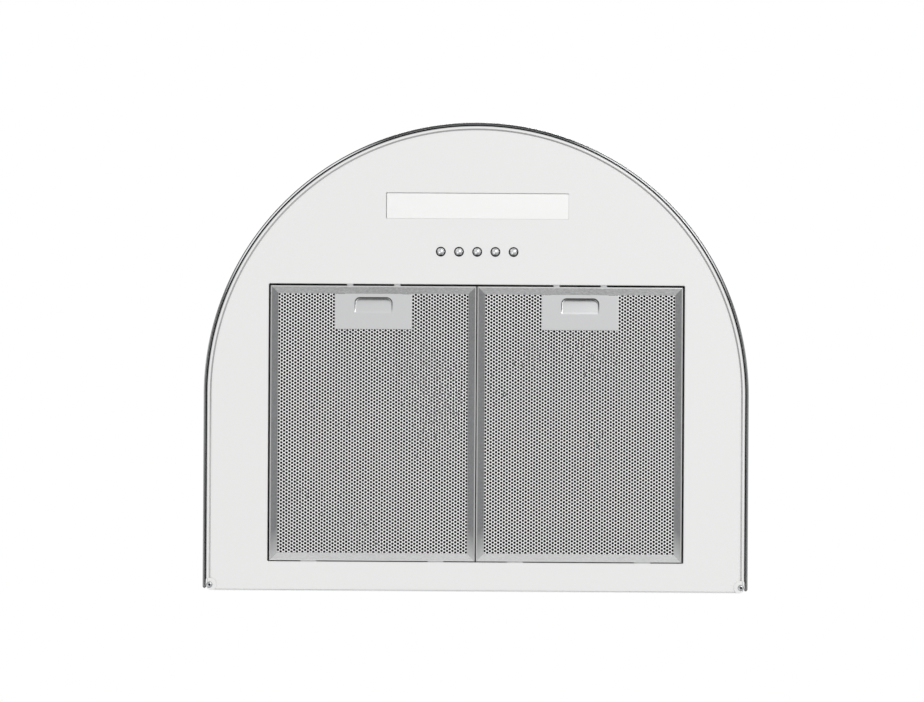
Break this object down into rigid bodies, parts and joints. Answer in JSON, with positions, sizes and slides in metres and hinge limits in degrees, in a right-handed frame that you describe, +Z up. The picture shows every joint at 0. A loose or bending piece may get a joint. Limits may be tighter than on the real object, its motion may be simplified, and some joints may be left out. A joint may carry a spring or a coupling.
{
  "type": "wall mount range hood",
  "caption": "Wall mount range hood with a D-shaped white canopy, chrome trim, long lamp, push buttons, hinged mesh grease filters and a telescoping chimney.",
  "frame": {"origin": "on the wall plane, at the middle of the bottom rim", "axes": "+Z up; +Y into the wall, so the front faces -Y; +X to the right of a viewer who faces the front"},
  "size_m": [0.6, 0.5159, 0.5308],
  "materials": {
    "white_enamel": "gloss white enamel",
    "bright_chrome": "polished chrome plate",
    "zinc_steel": "zinc-coated steel, dull",
    "filter_aluminium": "mill-finish aluminium",
    "latch_aluminium": "satin, pressed aluminium",
    "impeller_steel": "grey coated",
    "motor_paint": "grey satin paint",
    "opal_lens": "opal white, smooth",
    "white_plastic": "light, matt",
    "led_phosphor": "pale yellow, smooth",
    "black_plastic": "black, matt",
    "black_foam": "black, dull",
    "grey_lead": "light grey sheath"
  },
  "bodies": {
    "canopy": {"canopy_shell": "white_enamel", "rear_panel": "zinc_steel", "underside_panel": "white_enamel", "panel_clips": "zinc_steel", "trim_strip": "bright_chrome", "trim_tape": "black_foam", "corner_screws": "zinc_steel", "light_lens": "opal_lens", "light_housing": "zinc_steel", "led_board": "white_plastic", "led_chips": "led_phosphor", "led_driver": "white_plastic", "switch_module": "black_plastic", "switch_bracket": "zinc_steel", "button_springs": "zinc_steel", "fan_case_left": "zinc_steel", "fan_case_right": "zinc_steel", "motor": "motor_paint", "motor_bracket": "zinc_steel", "motor_sleeve": "black_foam", "capacitor": "white_plastic", "capacitor_strap": "zinc_steel", "outlet_gasket": "black_foam", "fan_bolts": "zinc_steel", "fan_nuts": "zinc_steel", "duct_collar": "zinc_steel", "damper_rod": "zinc_steel", "junction_box": "white_plastic", "junction_cover": "white_plastic", "cable_gland": "black_plastic", "wiring_leads": "grey_lead", "cable_clips": "black_plastic", "chimney_lower": "white_enamel", "chimney_base_screws": "zinc_steel"},
    "filter_left": {"filter_frame_left": "filter_aluminium", "filter_mesh_left": "filter_aluminium", "filter_core_left": "filter_aluminium", "latch_housing_left": "filter_aluminium", "latch_springs_left": "zinc_steel"},
    "filter_right": {"filter_frame_right": "filter_aluminium", "filter_mesh_right": "filter_aluminium", "filter_core_right": "filter_aluminium", "latch_housing_right": "filter_aluminium", "latch_springs_right": "zinc_steel"},
    "latch_slider_left": {"latch_left": "latch_aluminium"},
    "latch_slider_right": {"latch_right": "latch_aluminium"},
    "light_button": {"button_light": "bright_chrome"},
    "off_button": {"button_off": "bright_chrome"},
    "low_button": {"button_low": "bright_chrome"},
    "medium_button": {"button_medium": "bright_chrome"},
    "high_button": {"button_high": "bright_chrome"},
    "fan_wheel": {"impeller": "impeller_steel"},
    "front_flap": {"damper_flap_front": "filter_aluminium"},
    "rear_flap": {"damper_flap_rear": "filter_aluminium"},
    "upper_chimney": {"chimney_upper": "white_enamel", "chimney_bracket": "zinc_steel", "chimney_screws": "zinc_steel"}
  },
  "joints": [
    {"name": "filter_left_swing", "type": "hinge", "parent": "canopy", "child": "filter_left", "pos_m": [-0.11363, -0.0342, 0.003], "axis": [1, 0, 0], "range_deg": [0, 70]},
    {"name": "filter_right_swing", "type": "hinge", "parent": "canopy", "child": "filter_right", "pos_m": [0.11363, -0.0342, 0.003], "axis": [1, 0, 0], "range_deg": [0, 70]},
    {"name": "latch_left_slide", "type": "slide", "parent": "filter_left", "child": "latch_slider_left", "axis": [0, 1, 0], "range_m": [0, 0.006], "stiffness_N_per_m": 500, "springref_m": -0.004, "deforming": ["latch_springs_left"]},
    {"name": "latch_right_slide", "type": "slide", "parent": "filter_right", "child": "latch_slider_right", "axis": [0, 1, 0], "range_m": [0, 0.006], "stiffness_N_per_m": 500, "springref_m": -0.004, "deforming": ["latch_springs_right"]},
    {"name": "light_button_press", "type": "slide", "parent": "canopy", "child": "light_button", "axis": [0, 0, 1], "range_m": [0, 0.0025], "stiffness_N_per_m": 600, "springref_m": -0.002, "deforming": ["button_springs"]},
    {"name": "off_button_press", "type": "slide", "parent": "canopy", "child": "off_button", "axis": [0, 0, 1], "range_m": [0, 0.0025], "stiffness_N_per_m": 600, "springref_m": -0.002, "deforming": ["button_springs"]},
    {"name": "low_button_press", "type": "slide", "parent": "canopy", "child": "low_button", "axis": [0, 0, 1], "range_m": [0, 0.0025], "stiffness_N_per_m": 600, "springref_m": -0.002, "deforming": ["button_springs"]},
    {"name": "medium_button_press", "type": "slide", "parent": "canopy", "child": "medium_button", "axis": [0, 0, 1], "range_m": [0, 0.0025], "stiffness_N_per_m": 600, "springref_m": -0.002, "deforming": ["button_springs"]},
    {"name": "high_button_press", "type": "slide", "parent": "canopy", "child": "high_button", "axis": [0, 0, 1], "range_m": [0, 0.0025], "stiffness_N_per_m": 600, "springref_m": -0.002, "deforming": ["button_springs"]},
    {"name": "fan_spin", "type": "hinge", "parent": "canopy", "child": "fan_wheel", "pos_m": [0, -0.196, 0.10802], "axis": [1, 0, 0], "continuous": true},
    {"name": "front_flap_swing", "type": "hinge", "parent": "canopy", "child": "front_flap", "pos_m": [0, -0.15, 0.236], "axis": [-1, 0, 0], "range_deg": [0, 80]},
    {"name": "rear_flap_swing", "type": "hinge", "parent": "canopy", "child": "rear_flap", "pos_m": [0, -0.15, 0.236], "axis": [1, 0, 0], "range_deg": [0, 80]},
    {"name": "chimney_extend", "type": "slide", "parent": "canopy", "child": "upper_chimney", "axis": [0, 0, 1], "range_m": [0, 0.25]}
  ]
}
